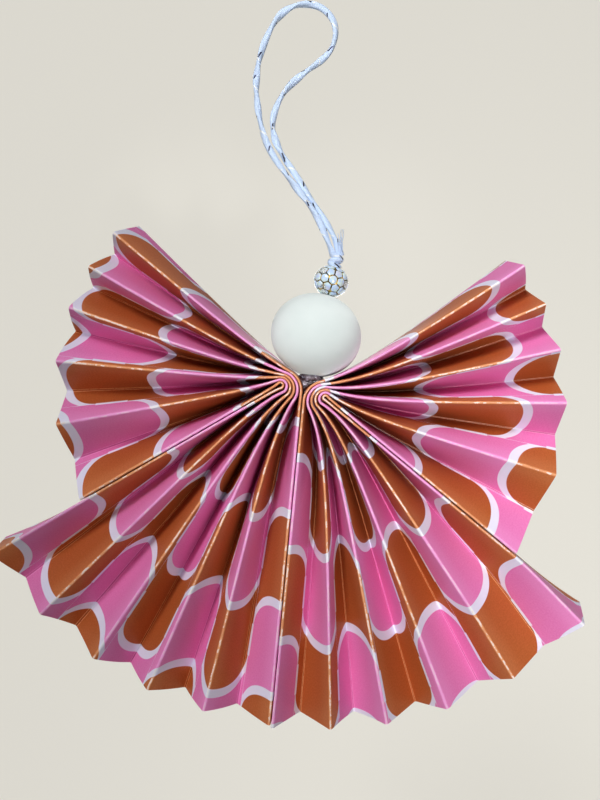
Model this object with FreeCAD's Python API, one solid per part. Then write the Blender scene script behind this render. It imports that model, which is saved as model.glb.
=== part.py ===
# Hanging paper angel. Two square sheets of printed paper are pleated, bent double and glued into
# two wings and a skirt. A drilled wooden head, a jewelled crown bead and a knotted cord loop
# stand above them. Millimetres: +Z up, +X to the viewer's right, -Y to the front.
# The origin is the underside of the cord loop's top, where a hook carries the ornament.
import FreeCAD, Part
import os
from math import sin, cos, tan, radians, degrees, sqrt, exp, acos, pi

from FreeCAD import Vector

# ---- paper ----
sheet_side = 152.4        # a six inch square of paper
panel_count = 12          # panels across each sheet
paper = 0.2               # thickness
fold_pitch = 0.44         # distance from panel to panel where the pack is squeezed
pair_gap = 0.25           # room for glue between two panels glued face to face
glue_film = 0.15          # thickness of a glue line in that room

# ---- the bend of each pleated pack, in the plane of the wings ----
eye_radius = 0.9          # the innermost edge turns round a small open eye
fold_drift = 0.13         # each outer fold turns this much lower down than the one inside it
eye_squeeze = 11.0        # degrees by which the innermost panels close up behind the eye
seam_lean = 5.5           # the skirt's middle seam leans to the viewer's left, degrees from -Z

# Bearings of the folds, degrees above the outward horizontal, from the innermost edge to the
# outermost one. A wing and its half of the skirt share their innermost bearing: they are glued.
left = dict(
    side=-1, wing_part=0.407, bend_above_seam_top=3.3,
    wing=[-30, -30, -19.5, -10, -2, 5.5, 13.5, 19, 25.5, 30, 35.5, 40, 45],
    skirt=[-30, -30, -37.5, -44, -49.5, -55.5, -61, -66, -71.5, -76, -81],
    wing_squeeze=9.0, skirt_squeeze=20.0, wing_relax=8.0, skirt_relax=6.5, strip_opening=2.2)
right = dict(
    side=1, wing_part=0.418, bend_above_seam_top=1.2,
    wing=[-39.5, -39.5, -27, -17, -8, 0, 6, 12.5, 18.5, 23.5, 28.5, 33.5, 37],
    skirt=[-39.5, -39.5, -48.5, -56.5, -62.5, -69, -74, -79.5, -85, -89, -94.5],
    wing_squeeze=18.0, skirt_squeeze=24.0, wing_relax=8.5, skirt_relax=6.5, strip_opening=3.7)
for half in (left, right):
    half["wing_length"] = sheet_side * half["wing_part"]      # the rest is skirt
relax_growth = 0.5        # outer folds take this much longer to straighten, for each fold

# ---- head, crown and cord ----
head_diameter = 24.0
head_height = 22.0        # along the bore
head_edge = 0.2           # break of the bore's edges
head_lean = 15.6          # the beads' axis leans to the viewer's right, degrees from +Z
neck_lean = 11.3          # direction from the seam's top to the head's centre, degrees from +Z
head_seat = 0.2           # room between the head and the bends that carry it

crown_diameter = 9.0      # metal body, without the stones
crown_height = 8.0
stone_diameter = 1.9
stone_pitch = 2.2         # smallest spacing of the stones' middles
stone_height = 0.75
stone_stand = 0.5         # how far a stone's table stands out of the metal
stone_fit = 0.03          # room all round a stone in its seat
stone_turn = 8.0          # degrees by which the rings are turned about the beads' axis
stone_table = 0.55        # a stone's flat table, as a part of its width

cord_diameter = 1.6
core_diameter = 1.25 * cord_diameter      # both strands squeezed together inside the beads
crown_bore = core_diameter + 0.2
head_bore = core_diameter + 1.0
knot_width = 2.5 * cord_diameter
knot_height = 2.25 * cord_diameter
knot_centre = Vector(7.97, 0.0, -65.3)
bead_clearance = 0.02     # between pieces that sit on each other

# corners of the cord's route: up the left strand, round the loop's top, down the right strand
cord_route = [
    (6.9, 0.0, -64.3), (4.9, -0.3, -58.6), (1.3, -0.6, -51.7), (-5.3, -0.6, -43.5),
    (-10.6, -0.5, -35.7), (-12.9, -0.2, -27.0), (-13.6, 0.0, -17.5), (-11.6, 0.1, -9.2),
    (-8.0, 0.0, -2.3), (-3.4, -0.1, 0.9), (2.9, 0.0, 0.8), (7.1, 0.1, -3.0), (7.7, 0.0, -8.0),
    (5.4, -0.1, -12.8), (-2.6, 0.1, -17.9), (-7.4, 0.3, -23.0), (-9.6, 0.5, -30.0),
    (-7.4, 0.6, -36.7), (-2.1, 0.6, -44.2), (3.1, 0.6, -52.7), (7.2, 0.3, -58.8),
    (8.9, 0.0, -64.4)]

# ---- values that follow ----
panel = sheet_side / panel_count
slant = panel - fold_pitch                      # a panel between its two creases
front_y = -slant / 2                            # the front folds lie in one plane
seam_half = (paper + pair_gap) / 2              # from a glue line to each panel's middle
axis = Vector(sin(radians(head_lean)), 0, cos(radians(head_lean)))
down_seam = Vector(-sin(radians(seam_lean)), 0, -cos(radians(seam_lean)))


def bead_z(width, height, radius):
    """height of a flattened ball's surface above its middle, at a radius from the bore"""
    return height / 2 * sqrt(1 - (2 * radius / width) ** 2)


def ring_stones():
    """the rings of stones as (latitude in degrees, number), as many as fit clear of the bore"""
    step = degrees(2 * stone_pitch / ((crown_diameter + crown_height) / 2))
    rings = []
    for row in range(-3, 4):
        ring = crown_diameter / 2 * cos(radians(row * step))
        if abs(row * step) < 90 and ring - stone_diameter / 2 > crown_bore / 2 + 0.1:
            rings.append((row * step, int(2 * pi * ring / stone_pitch)))
    return rings


stone_rows = ring_stones()
crown_centre = knot_centre - axis * (
    bead_z(crown_diameter, crown_height, crown_bore / 2) + knot_height / 2 + bead_clearance)
lowest = radians(stone_rows[-1][0])
stone_x, stone_z = crown_diameter / 2 * cos(lowest), crown_height / 2 * sin(lowest)
stone_out = Vector(stone_x / crown_diameter ** 2, 0, stone_z / crown_height ** 2).normalize()
half_table = stone_table * stone_diameter / 2
table_x = stone_x + stone_out.x * stone_stand - stone_out.z * half_table
table_z = stone_z + stone_out.z * stone_stand + stone_out.x * half_table
mouth = head_bore / 2 + head_edge
seats = ((table_x, table_z), (mouth, bead_z(crown_diameter, crown_height, mouth)))
head_centre = crown_centre - axis * (      # the crown stands on its lowest stones, or on its metal
    max(bead_z(head_diameter, head_height, r) + z for r, z in seats) + bead_clearance)
roll_radius = eye_radius + fold_pitch * (panel_count - 1) + paper / 2    # outside of each bend
roll_rise = (left["bend_above_seam_top"] + right["bend_above_seam_top"]) / 2
neck_rise = roll_rise - fold_drift * (panel_count - 1) + sqrt(
    ((head_diameter + head_height) / 4 + roll_radius + head_seat) ** 2
    - (roll_radius - paper / 2 + seam_half) ** 2)
seam_top = head_centre - Vector(sin(radians(neck_lean)), 0, cos(radians(neck_lean))) * neck_rise


# ---- the fold lines ----
def depth_in_pack(k):
    """how many pitches fold k lies outside the innermost edge"""
    if k == 0:
        return 0.0
    return panel_count - 1.0 if k == panel_count else k - 0.5


def fold_half(side, k, is_wing):
    """one fold from the middle of the bend to its wing tip or hem: a list of (point, heading).
    It turns on an arc, leaves it squeezed past its own bearing and relaxes to it with distance.
    Points are (outward, up) from the bend's centre, headings are degrees."""
    m = depth_in_pack(k)
    wing, skirt = side["wing"][k], side["skirt"][k]
    radius = eye_radius + fold_pitch * m
    if k <= 1:
        squeeze = eye_squeeze
        bow = sum(sin(radians(squeeze) * exp(-(i + 0.5) / 20)) for i in range(200)) / 20
        closed = seam_half + fold_pitch * m
        relax = (radius * cos(radians(squeeze)) - closed) / bow
    elif not is_wing and k >= panel_count - 1:
        squeeze, relax = 0.0, 1.0
    else:
        squeeze = side["wing_squeeze" if is_wing else "skirt_squeeze"]
        relax = side["wing_relax" if is_wing else "skirt_relax"] + relax_growth * (k - 2)
    turn_way = 1 if is_wing else -1
    apex = (wing + skirt) / 2 + 180
    bearing = wing if is_wing else skirt
    turn = 90 + (skirt - wing) / 2 + squeeze
    arc = radius * radians(turn)
    length = side["wing_length"] if is_wing else sheet_side - side["wing_length"]
    lean = radians(seam_lean) * side["side"]
    drift = fold_drift * max(k - 1, 0)
    centre = (-drift * sin(lean), -drift * cos(lean))

    stations = [arc * i / arc_steps for i in range(arc_steps + 1)]
    stations += [arc + (length - arc) * (i / far_steps) ** 2 for i in range(1, far_steps + 1)]

    def heading(s):
        if s < arc:
            return apex - turn_way * (90 + degrees(s / radius))
        flare = 0.0
        if k == 0 and not is_wing and s > side["wing_length"]:
            free = length - side["wing_length"]
            flare = degrees(2 * side["strip_opening"] * (s - side["wing_length"]) / free ** 2)
        return bearing - turn_way * squeeze * exp(-(s - arc) / relax) + flare

    a = centre[0] + radius * cos(radians(apex))
    b = centre[1] + radius * sin(radians(apex))
    line = [((a, b), heading(0))]
    for s0, s1 in zip(stations, stations[1:]):
        steps = max(1, int((s1 - s0) / 0.2))
        for i in range(steps):
            h = radians(heading(s0 + (s1 - s0) * (i + 0.5) / steps))
            a += cos(h) * (s1 - s0) / steps
            b += sin(h) * (s1 - s0) / steps
        line.append(((a, b), heading(s1)))
    return line


arc_steps = 5             # stations on a fold's arc, each way from the middle of the bend
far_steps = 8             # stations from there to the wing tip or the hem


def sheet_folds(side):
    """every fold of a sheet from wing tip to hem, as (point, travel direction) in model space"""
    seam_bearing = -90 + seam_lean * side["side"] * -1
    side["skirt"] = side["skirt"][:panel_count - 1] + [seam_bearing, seam_bearing]
    away = Vector(cos(radians(seam_lean)), 0, -sin(radians(seam_lean))) * side["side"]
    bend = (seam_top - down_seam * side["bend_above_seam_top"]
            + away * (roll_radius - paper / 2 + seam_half))
    folds = []
    for k in range(panel_count + 1):
        fold = []
        for (a, b), h in reversed(fold_half(side, k, True)):
            travel = Vector(-cos(radians(h)) * side["side"], 0, -sin(radians(h)))
            fold.append((bend + Vector(a * side["side"], 0, b), travel))
        for (a, b), h in fold_half(side, k, False)[1:]:
            travel = Vector(cos(radians(h)) * side["side"], 0, sin(radians(h)))
            fold.append((bend + Vector(a * side["side"], 0, b), travel))
        folds.append(fold)
    return folds, bend


def sheet_section(side, folds, j):
    """the pleats at station j: two corners at each crease, one at each free edge"""
    gaps = [(folds[k + 1][j][0] - folds[k][j][0]).Length for k in range(panel_count)]
    rise = [sqrt(slant ** 2 - max(g - fold_pitch, 0) ** 2) for g in gaps]
    corners = []
    for k in range(panel_count + 1):
        point, travel = folds[k][j]
        outward = Vector(travel.z, 0, -travel.x) * side["side"]
        if k in (0, panel_count):
            edge_gap = max(gaps[0 if k == 0 else -1] - fold_pitch / 2, 0)
            y = front_y + sqrt(slant ** 2 - edge_gap ** 2)
            corners.append((Vector(point.x, y, point.z), travel))
            continue
        y = front_y if k % 2 else front_y + (rise[k - 1] + rise[k]) / 2
        for way in (-0.5, 0.5):
            corner = point + outward * (way * fold_pitch)
            corners.append((Vector(corner.x, y, corner.z), travel))
    return corners


def thicken(corners):
    """both faces of the paper at one station: each corner moved half a thickness along its mitre"""
    front, back = [], []
    for i, (corner, travel) in enumerate(corners):
        normals = []
        for a, b in ((i - 1, i), (i, i + 1)):
            if a >= 0 and b < len(corners):
                normal = travel.cross(corners[b][0] - corners[a][0])
                normals.append(normal.normalize())
        mitre = normals[0] if len(normals) == 1 else (
            (normals[0] + normals[1]) * (1 / (1 + normals[0].dot(normals[1]))))
        front.append(corner + mitre * (paper / 2))
        back.append(corner - mitre * (paper / 2))
    return front, back


def spline(points, places):
    curve = Part.BSplineCurve()
    curve.interpolate(Points=points, Parameters=places)
    return curve


def straight(start, end):
    curve = Part.BSplineCurve()
    curve.buildFromPolesMultsKnots([start, end], [2, 2], [0.0, 1.0], False, 1)
    return curve


def ruled(a, b):
    """the face swept by straight lines between two curves with the same knots"""
    surface = Part.BSplineSurface()
    surface.buildFromPolesMultsKnots(
        [a.getPoles(), b.getPoles()], [2, 2], a.getMultiplicities(),
        [0.0, 1.0], a.getKnots(), False, False, 1, a.Degree)
    return surface.toShape()


def make_sheet(side):
    """one pleated sheet: ruled faces front and back between neighbouring corner lines, and edges"""
    folds, bend = sheet_folds(side)
    middle = folds[panel_count // 2]
    places = [0.0]
    for a, b in zip(middle, middle[1:]):
        places.append(places[-1] + (b[0] - a[0]).Length)
    sections = [thicken(sheet_section(side, folds, j)) for j in range(len(middle))]
    corners = len(sections[0][0])
    fronts = [spline([s[0][i] for s in sections], places) for i in range(corners)]
    backs = [spline([s[1][i] for s in sections], places) for i in range(corners)]
    faces = [ruled(fronts[0], backs[0]), ruled(fronts[-1], backs[-1])]
    for i in range(corners - 1):
        faces += [ruled(fronts[i], fronts[i + 1]), ruled(backs[i], backs[i + 1])]
        for front, back in (sections[0], sections[-1]):
            faces.append(ruled(straight(front[i], front[i + 1]), straight(back[i], back[i + 1])))
    shell = Part.makeShell(faces)
    shell.sewShape()
    solid = Part.makeSolid(shell)
    if solid.Volume < 0:
        solid.reverse()
    return solid, folds, bend


# ---- glue ----
def glue_line(line, start, end, depth_from, depth_to):
    """a flat film along a straight glued line: line is (point, direction), both in the X-Z plane"""
    point, direction = line
    across = Vector(direction.z, 0, -direction.x)
    base = point + direction * start - across * (glue_film / 2) + Vector(0, depth_from, 0)
    box = Part.makeBox(end - start, depth_to - depth_from, glue_film)
    frame = FreeCAD.Matrix(direction.x, 0, across.x, base.x, 0, 1, 0, base.y,
                           direction.z, 0, across.z, base.z, 0, 0, 0, 1)
    return box.transformGeometry(frame)


def make_neck_glue(bends):
    """the blob that fills the V under the head: a rounded plug, cut back to the two bends"""
    drift = down_seam * (fold_drift * (panel_count - 1))
    half_lean = radians(neck_lean / 2)
    middle = seam_top + Vector(sin(half_lean), 0, cos(half_lean)) * glue_rise
    along = Vector(0, 1, 0)
    blob = Part.makeCylinder(glue_radius, glue_depth, middle - along * (glue_depth / 2), along)
    blob = blob.makeFillet(glue_round, [e for e in blob.Edges if isinstance(e.Curve, Part.Circle)])
    for bend in bends:
        foot = bend + drift - along * panel
        blob = blob.cut(Part.makeCylinder(roll_radius + roll_clearance, 2 * panel, foot, along))
    chin = head_diameter ** 2 / (2 * head_height)      # radius of the head's curve at its foot
    blob = blob.cut(Part.makeSphere(
        chin + glue_clearance, head_centre + axis * (chin - head_height / 2), along))
    return max(blob.Solids, key=lambda s: s.Volume)


glue_radius = 3.4         # the blob under the head, before it is cut back
glue_depth = 9.0
glue_round = 1.6
glue_rise = 4.2           # its middle above the seam's top
glue_clearance = 0.05
roll_clearance = 0.1      # more room at the bends, which are not quite round


# ---- beads ----
def bead_solid(width, height, bore, centre):
    """a flattened ball, its outline a smooth curve through points of an ellipse, with a straight
    bore along the beads' axis"""
    rim = bore / 2
    end = acos(rim / (width / 2))
    outline = []
    for i in range(outline_points + 1):
        angle = end * (2 * i / outline_points - 1)
        outline.append(Vector(width / 2 * cos(angle), 0, height / 2 * sin(angle)))
    curve = Part.BSplineCurve()
    curve.interpolate(Points=outline)
    wall = Part.LineSegment(outline[-1], outline[0]).toShape()
    face = Part.Face(Part.Wire([curve.toShape(), wall]))
    solid = face.revolve(Vector(0, 0, 0), Vector(0, 0, 1), 360)
    if solid.Volume < 0:
        solid.reverse()
    solid.rotate(Vector(0, 0, 0), Vector(0, 1, 0), head_lean)
    solid.translate(centre)
    return solid


outline_points = 24       # points on a bead's outline


def make_head():
    head = bead_solid(head_diameter, head_height, head_bore, head_centre)
    rims = [e for e in head.Edges if e.Length < pi * (head_bore + 1)
            and isinstance(e.Curve, Part.Circle)]
    return head.makeChamfer(head_edge, rims)


def stone_solid(radius, height):
    """a cut stone: a round girdle, then a low crown up to a flat table"""
    girdle, table = 0.4 * height, stone_table * radius
    outline = [Vector(0, 0, 0), Vector(radius, 0, 0), Vector(radius, 0, girdle),
               Vector(table, 0, height), Vector(0, 0, height), Vector(0, 0, 0)]
    return Part.Face(Part.makePolygon(outline)).revolve(Vector(0, 0, 0), Vector(0, 0, 1), 360)


def stone_places():
    """position and outward direction of each stone on the crown, before the beads' lean"""
    places = []
    for row, (latitude, number) in enumerate(stone_rows):
        for i in range(number):
            angle = radians(360 / number * (i + 0.5 * (row % 2)) + stone_turn)
            lat = radians(latitude)
            on = Vector(cos(lat) * cos(angle) * crown_diameter / 2,
                        cos(lat) * sin(angle) * crown_diameter / 2, sin(lat) * crown_height / 2)
            out = Vector(on.x / crown_diameter ** 2, on.y / crown_diameter ** 2,
                         on.z / crown_height ** 2).normalize()
            places.append((on, out))
    return places


def make_crown():
    body = bead_solid(crown_diameter, crown_height, crown_bore, Vector(0, 0, 0))
    stones, seats = [], []
    for on, out in stone_places():
        turn = FreeCAD.Rotation(Vector(0, 0, 1), out)
        foot = on - out * (stone_height - stone_stand)
        stone = stone_solid(stone_diameter / 2, stone_height)
        seat = Part.makeCylinder(stone_diameter / 2 + stone_fit, stone_height)
        stone.Placement = FreeCAD.Placement(foot, turn)
        seat.Placement = FreeCAD.Placement(foot - out * stone_fit, turn)
        lean = (Vector(0, 0, 0), Vector(0, 1, 0), head_lean)
        for shape in (stone, seat):
            shape.rotate(*lean)
            shape.translate(crown_centre)
        stones.append(stone)
        seats.append(seat)
    body.translate(crown_centre)
    return body.cut(seats), Part.makeCompound(stones)


# ---- cord ----
def make_cord():
    """a tube along straight runs joined by tangent arcs, each as large as its two runs allow"""
    points = [Vector(*p) for p in cord_route]
    edges, start, radii, length = [], points[0], [], 0.0
    for before, corner, after in zip(points, points[1:], points[2:]):
        into, out = corner - before, after - corner
        half_turn = acos(into.dot(out) / (into.Length * out.Length)) / 2
        setback = 0.45 * min(into.Length, out.Length)
        radii.append(setback / tan(half_turn))
        into.normalize()
        out.normalize()
        enter, leave = corner - into * setback, corner + out * setback
        inward = (out - into).normalize()
        middle = corner + inward * (radii[-1] / cos(half_turn) - radii[-1])
        edges.append(Part.LineSegment(start, enter).toShape())
        edges.append(Part.Arc(enter, middle, leave).toShape())
        start = leave
    edges.append(Part.LineSegment(start, points[-1]).toShape())
    path = Part.Wire(edges)
    circle = Part.Circle(points[0], points[1] - points[0], cord_diameter / 2)
    tube = path.makePipeShell([Part.Wire(circle.toShape())], True, False)
    expected = pi * cord_diameter ** 2 / 4 * path.Length
    print("cord length %.1f, volume %.1f of %.1f" % (path.Length, tube.Volume, expected))
    print("cord arc radii", " ".join("%.1f" % r for r in radii))
    return tube


def make_core():
    """the doubled cord from the knot down to the lower mouth of the head's bore"""
    top = knot_centre
    bottom = head_centre - axis * (bead_z(head_diameter, head_height, head_bore / 2) - 0.5)
    return Part.makeCylinder(core_diameter / 2, (top - bottom).Length, bottom, axis)


def make_knot(strands):
    """a tight ball of cord, hollowed where the strands enter it"""
    size = FreeCAD.Matrix()
    size.scale(knot_width / 2, knot_width / 2, knot_height / 2)
    knot = Part.makeSphere(1.0).transformGeometry(size)
    knot.rotate(Vector(0, 0, 0), Vector(0, 1, 0), head_lean)
    knot.translate(knot_centre)
    for strand in strands:
        knot = knot.cut(strand)
    return max(knot.Solids, key=lambda s: s.Volume)


def build():
    shapes = {}
    shapes["left_sheet"], left_folds, left_bend = make_sheet(left)
    shapes["right_sheet"], right_folds, right_bend = make_sheet(right)
    bends = (left_bend, right_bend)
    depth = (front_y + 1.0, front_y + slant - 0.5)
    seam_end = sheet_side - left["wing_length"] - 6
    shapes["seam_glue"] = glue_line((seam_top, down_seam), 10.0, seam_end - 4, *depth)
    for name, side, bend in (("left_fan_glue", left, left_bend),
                             ("right_fan_glue", right, right_bend)):
        bearing = radians(side["wing"][0])
        out = Vector(cos(bearing) * side["side"], 0, sin(bearing))
        shapes[name] = glue_line((bend, out), 22.0, side["wing_length"] - 4, *depth)
    shapes["head_bead"] = make_head()
    shapes["crown_bead"], shapes["crown_stones"] = make_crown()
    shapes["loop_cord"] = make_cord()
    shapes["cord_core"] = make_core()
    shapes["cord_knot"] = make_knot([shapes["loop_cord"], shapes["cord_core"]])
    shapes["neck_glue"] = make_neck_glue(bends)
    os.makedirs("parts", exist_ok=True)
    print("seam top", seam_top, "head", head_centre, "crown", crown_centre, "rings", stone_rows)
    for name, shape in shapes.items():
        shape.exportStep("parts/%s.step" % name)
        box = shape.BoundBox
        print("%-15s %s solids %d volume %.1f  x %.1f..%.1f y %.1f..%.1f z %.1f..%.1f" % (
            name, "ok " if shape.isValid() else "BAD", len(shape.Solids), shape.Volume,
            box.XMin, box.XMax, box.YMin, box.YMax, box.ZMin, box.ZMax))
    return shapes


build()
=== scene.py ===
import bpy
import numpy as np
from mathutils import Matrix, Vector


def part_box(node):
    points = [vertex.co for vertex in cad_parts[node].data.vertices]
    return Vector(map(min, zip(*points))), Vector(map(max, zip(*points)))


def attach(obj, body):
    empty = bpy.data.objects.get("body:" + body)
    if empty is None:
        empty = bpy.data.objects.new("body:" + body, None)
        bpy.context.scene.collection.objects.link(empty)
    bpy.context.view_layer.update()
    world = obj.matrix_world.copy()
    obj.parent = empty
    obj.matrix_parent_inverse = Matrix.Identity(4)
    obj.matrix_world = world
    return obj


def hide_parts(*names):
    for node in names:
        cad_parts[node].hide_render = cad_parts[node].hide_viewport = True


# Hanging paper angel: two pleated sheets, a wooden head, a jewelled crown, a knotted cord loop.
# Shapes are worked out in millimetres in the part's own frame and put into meshes in metres.

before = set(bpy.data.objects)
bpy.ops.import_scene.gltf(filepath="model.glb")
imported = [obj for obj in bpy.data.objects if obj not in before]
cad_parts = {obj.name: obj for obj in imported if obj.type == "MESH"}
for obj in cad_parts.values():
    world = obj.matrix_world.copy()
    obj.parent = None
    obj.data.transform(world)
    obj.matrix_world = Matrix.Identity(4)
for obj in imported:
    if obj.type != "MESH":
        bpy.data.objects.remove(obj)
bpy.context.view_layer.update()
mm = 0.001


def addObject(name, data):
    # a new object in the scene
    made = bpy.data.objects.new(name, data)
    bpy.context.scene.collection.objects.link(made)
    return made


def addMesh(name, points, faces, material):
    # a smooth mesh from points in metres and faces as lists of corners
    mesh = bpy.data.meshes.new(name)
    mesh.from_pydata(points.tolist(), [], [list(map(int, face)) for face in faces])
    mesh.polygons.foreach_set("use_smooth", np.ones(len(mesh.polygons), bool))
    mesh.materials.append(material)
    return addObject(name, mesh)


def addPiece(name, points, faces, nodes, material, uv=None):
    # points in millimetres, and uv as one pair for each face corner
    piece = addMesh(name, np.asarray(points, float) * mm, faces, material)
    mesh = piece.data
    if uv is not None:
        mesh.uv_layers.new(name="flat").data.foreach_set("uv", np.asarray(uv, np.float32).ravel())
    mesh.update()
    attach(piece, "root")
    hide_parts(*nodes)
    print("made", name, len(mesh.polygons), "faces")
    return piece


def gridFaces(rows, columns, closeColumns=False):
    # quads between neighbouring points of a grid whose columns run fastest
    spans = columns if closeColumns else columns - 1
    i, j = np.meshgrid(np.arange(rows - 1), np.arange(spans), indexing="ij")
    k = (j + 1) % columns
    quads = [i * columns + j, i * columns + k, (i + 1) * columns + k, (i + 1) * columns + j]
    return np.stack(quads, -1).reshape(-1, 4)


def closedTube(rows, columns):
    # quads round a tube, and one flat face over either end
    first = list(range(columns))
    last = [corner + (rows - 1) * columns for corner in first]
    return [list(quad) for quad in gridFaces(rows, columns, True)] + [first[::-1], last]


def joinParts(parts):
    # several (points, faces, uv) as one: each part's corners are counted on from the last one's
    points, faces, uv = zip(*parts)
    starts = np.cumsum([0] + [len(part) for part in points])
    faces = [[corner + start for corner in face]
             for start, part in zip(starts, faces) for face in part]
    return np.concatenate(points), faces, np.concatenate(uv)


def fullTurn(count):
    # evenly spaced angles of one full turn
    return np.linspace(0, 2 * np.pi, count, endpoint=False)


def unit(v):
    # vectors divided by their own length
    return v / np.maximum(np.linalg.norm(v, axis=-1, keepdims=True), 1e-12)


def squarer(wave, power):
    # the wave's sign times its size to a power below one
    return np.sign(wave) * np.abs(wave) ** power


class Sock:
    # wraps one output socket, so that sums and products of sockets are written as plain maths
    def __init__(self, paint, out):
        self.paint, self.out = paint, out

    def maths(self, operation, *others):
        return self.paint.node("ShaderNodeMath", {"operation": operation}, [self, *others])

    def mathsAfter(self, operation, first):
        return self.paint.node("ShaderNodeMath", {"operation": operation}, [first, self])

    def __add__(self, o): return self.maths("ADD", o)
    def __sub__(self, o): return self.maths("SUBTRACT", o)
    def __rsub__(self, o): return self.mathsAfter("SUBTRACT", o)
    def __mul__(self, o): return self.maths("MULTIPLY", o)
    def __truediv__(self, o): return self.maths("DIVIDE", o)
    def __rtruediv__(self, o): return self.mathsAfter("DIVIDE", o)
    def __neg__(self): return self.maths("MULTIPLY", -1.0)
    def __abs__(self): return self.maths("ABSOLUTE")
    def __pow__(self, o): return self.maths("POWER", o)
    __radd__, __rmul__ = __add__, __mul__
    def sign(self): return self.maths("SIGN")
    def sin(self): return self.maths("SINE")
    def fract(self): return self.maths("FRACT")
    def atLeast(self, o): return self.maths("MAXIMUM", o)
    def atMost(self, o): return self.maths("MINIMUM", o)

    def step(self, low, high):
        # 0 below low, 1 above high, smooth between; high may be the smaller one
        return self.paint.node("ShaderNodeMapRange",
                               {"interpolation_type": "SMOOTHSTEP", "clamp": True},
                               {"Value": self, "From Min": low, "From Max": high})


class Paint:
    # one material with its shader, and the few ways used here to add nodes to it
    def __init__(self, name, **shader):
        self.material = bpy.data.materials.new(name)
        self.material.use_nodes = True
        self.tree = self.material.node_tree
        self.shader = self.tree.nodes["Principled BSDF"]
        for key, value in shader.items():
            self.set(key.replace("_", " "), value)

    def set(self, socketName, value):
        self.fill(self.shader.inputs[socketName], value)

    def fill(self, socket, value):
        # links a socket, makes a colour of three numbers opaque, puts other values in as they are
        if isinstance(value, Sock):
            self.tree.links.new(value.out, socket)
        elif isinstance(value, (tuple, list)) and len(value) == 3 and socket.type == "RGBA":
            socket.default_value = (*value, 1.0)
        else:
            socket.default_value = value

    def node(self, kind, settings=None, inputs=None, output=0):
        made = self.tree.nodes.new(kind)
        for key, value in (settings or {}).items():
            setattr(made, key, value)
        pairs = inputs.items() if isinstance(inputs, dict) else enumerate(inputs or [])
        for key, value in pairs:
            self.fill(made.inputs[key], value)
        return Sock(self, made.outputs[output])

    def uv(self):
        both = self.node("ShaderNodeUVMap", {"uv_map": "flat"})
        return [self.node("ShaderNodeSeparateXYZ", None, [both], output=i) for i in (0, 1)]

    def place(self):
        # where a point lies on the piece, in millimetres
        at = self.node("ShaderNodeTexCoord", output=3)
        return self.node("ShaderNodeVectorMath", {"operation": "SCALE"}, {0: at, "Scale": 1 / mm})

    def join(self, x, y, z=0.0):
        return self.node("ShaderNodeCombineXYZ", None, [x, y, z])

    def noise(self, vector, scale, detail=2.0, rough=0.5):
        return self.node("ShaderNodeTexNoise", None,
                         {"Vector": vector, "Scale": scale, "Detail": detail, "Roughness": rough})

    def mix(self, part, first, second):
        # the Mix node's two colours are its inputs 6 and 7, and the mixed colour is its output 2
        return self.node("ShaderNodeMix", {"data_type": "RGBA", "clamp_factor": True},
                         {0: part, 6: first, 7: second}, output=2)

    def bump(self, height, strength, distance):
        return self.node("ShaderNodeBump", None,
                         {"Strength": strength, "Distance": distance, "Height": height})


class Sky(Paint):
    # the same ways for the world's shader
    def __init__(self, world):
        self.tree = world.node_tree
        self.shader = self.tree.nodes["Background"]


def tint(red, green, blue):
    # a display colour from 0 to 255, made linear
    v = np.array([red, green, blue]) / 255.0
    linear = np.where(v <= 0.04045, v / 12.92, ((v + 0.055) / 1.055) ** 2.4)
    return tuple(float(c) for c in linear)


sheetPaper = {
    "side": 152.4, "panels": 12, "thickness": 0.24,
    "crease": 0.44,  # width of a squeezed crease
    "rounding": 0.34,  # half the width over which a crease is rounded
    "bendRadius": 5.74,  # on which the outermost fold turns
    "corePaper": 0.2, "pairGap": 0.25,  # half their sum parts a bend from the seam
    "foldDrift": 0.13,  # by which each next fold turns lower down
    "seamTop": (-0.984, -102.197), "seamLean": 5.5,
    "eyeSqueeze": 11.0, "relaxGrowth": 0.5, "droopReach": 5,
    "bowReach": 10, "bowSteps": 20,  # how far and how finely a fold's bow is summed
    "foldSamples": 4001, "arcRows": 14, "farRows": 64, "rowCrowding": 1.6,
    "nearCrease": (0.0, 0.12, 0.28, 0.5, 0.9), "clearOfCrease": 1.6, "acrossPanel": 9,
    "roundingSamples": 9,
    "bowAmount": (-0.25, 0.45), "bowWave": 0.18, "wavePhase": (0, 6.28), "waveLength": (14, 24),
    "bowFullAt": 60.0, "bowGrowth": 1.5, "outerBow": 0.3,
}
# Bearings are degrees above the outward horizontal, from the innermost edge to the outermost one.
leftSheet = {
    "side": -1, "eyeRadius": 0.5, "wingLength": 62.03, "bendAboveSeam": 3.3,
    "wing": [-30, -30, -19.5, -10, -2, 5.5, 13.5, 19, 25.5, 30, 35.5, 40, 45],
    "skirt": [-30, -30, -37.5, -44, -49.5, -55.5, -61, -66, -71.5, -76, -81, -84.5, -84.5],
    "wingSqueeze": 9.0, "skirtSqueeze": 20.0, "wingRelax": 8.0, "skirtRelax": 6.5,
    "flare": 2.2, "droop": [],
    "tongueAt": 0.98, "rowStart": 13.6, "hemDrift": 0.0, "scoreAt": 0.44, "scoreShine": 0.0,
    "seed": 3,
}
rightSheet = {
    "side": 1, "eyeRadius": 0.35, "wingLength": 63.7, "bendAboveSeam": 1.2,
    "wing": [-39.5, -39.5, -27, -17, -8, 0, 6, 12.5, 18.5, 23.5, 28.5, 33.5, 37],
    "skirt": [-39.5, -39.5, -48.5, -56.5, -62.5, -69, -74, -79.5, -85, -89, -94.5, -95.5, -95.5],
    "wingSqueeze": 18.0, "skirtSqueeze": 24.0, "wingRelax": 8.5, "skirtRelax": 6.5,
    "flare": 3.2, "droop": [6.5, 6.5, 5.5, 2.0],
    # scoreShine: how strongly this sheet's score lines on the wing are painted paler, as a
    # highlight
    "tongueAt": 1.12, "rowStart": 22.15, "hemDrift": 0.8, "scoreAt": 0.28, "scoreShine": 0.45,
    "seed": 8,
}
bothSheets = ((leftSheet, "left"), (rightSheet, "right"))


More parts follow.
